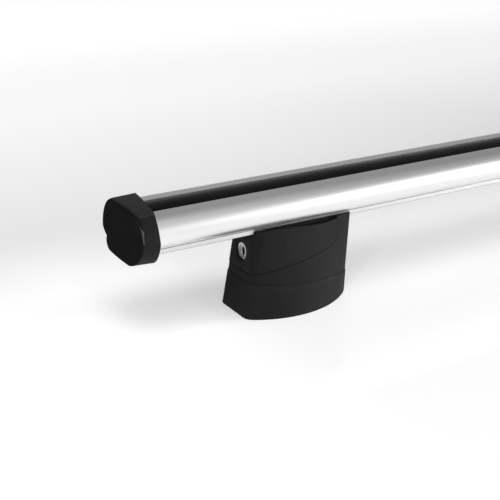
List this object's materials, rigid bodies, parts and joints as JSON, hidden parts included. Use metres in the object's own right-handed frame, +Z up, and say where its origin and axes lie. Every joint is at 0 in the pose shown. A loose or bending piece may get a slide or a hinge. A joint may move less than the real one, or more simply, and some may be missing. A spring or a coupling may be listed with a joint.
{
  "type": "roof rack crossbar",
  "caption": "Aluminium roof crossbar with a rubber top strip, end caps and sliding feet that bolt to fixed points and close with a lockable cover.",
  "frame": {"origin": "on the roof surface, midway between the two feet and under the bar's centreline", "axes": "+X along the bar towards the right foot, +Y towards the back of the bar, +Z up, away from the roof"},
  "size_m": [1.2, 0.0678, 0.0934],
  "materials": {
    "bar_aluminium": "satin anodised",
    "strip_rubber": "matt with a soft sheen",
    "cap_plastic": "fine texture",
    "housing_plastic": "fine texture",
    "cover_plastic": "fine texture",
    "boot_rubber": "matt",
    "bracket_steel": "bright zinc",
    "fastener_steel": "bright zinc",
    "clip_steel": "spring steel",
    "lock_metal": "satin",
    "lock_core_metal": "satin"
  },
  "bodies": {
    "bar": {"bar_extrusion": "bar_aluminium", "top_rubber_strip": "strip_rubber", "left_end_cap": "cap_plastic", "right_end_cap": "cap_plastic"},
    "left_foot": {"left_foot_housing": "housing_plastic", "left_foot_boot": "boot_rubber", "left_foot_bracket": "bracket_steel", "left_bracket_screws": "fastener_steel", "left_slot_nut": "fastener_steel", "left_clamp_bolts": "fastener_steel", "left_clamp_washers": "fastener_steel"},
    "left_cover": {"left_foot_cover": "cover_plastic", "left_lock_sleeve": "lock_metal", "left_lock_clip": "clip_steel"},
    "left_lock": {"left_lock_cylinder": "lock_core_metal", "left_lock_cam": "clip_steel", "left_lock_screw": "fastener_steel"},
    "right_foot": {"right_foot_housing": "housing_plastic", "right_foot_boot": "boot_rubber", "right_foot_bracket": "bracket_steel", "right_bracket_screws": "fastener_steel", "right_slot_nut": "fastener_steel", "right_clamp_bolts": "fastener_steel", "right_clamp_washers": "fastener_steel"},
    "right_cover": {"right_foot_cover": "cover_plastic", "right_lock_sleeve": "lock_metal", "right_lock_clip": "clip_steel"},
    "right_lock": {"right_lock_cylinder": "lock_core_metal", "right_lock_cam": "clip_steel", "right_lock_screw": "fastener_steel"}
  },
  "joints": [
    {"name": "left_foot_slide", "type": "slide", "parent": "bar", "child": "left_foot", "axis": [1, 0, 0], "range_m": [-0.06, 0.14]},
    {"name": "left_cover_slide", "type": "slide", "parent": "left_foot", "child": "left_cover", "axis": [-1, 0, 0], "range_m": [0, 0.06]},
    {"name": "left_lock_turn", "type": "hinge", "parent": "left_cover", "child": "left_lock", "pos_m": [-0.5105, 0, 0.0442], "axis": [1, 0, 0], "range_deg": [0, 90]},
    {"name": "right_foot_slide", "type": "slide", "parent": "bar", "child": "right_foot", "axis": [-1, 0, 0], "range_m": [-0.06, 0.14]},
    {"name": "right_cover_slide", "type": "slide", "parent": "right_foot", "child": "right_cover", "axis": [1, 0, 0], "range_m": [0, 0.06]},
    {"name": "right_lock_turn", "type": "hinge", "parent": "right_cover", "child": "right_lock", "pos_m": [0.5105, 0, 0.0442], "axis": [-1, 0, 0], "range_deg": [0, 90]}
  ]
}
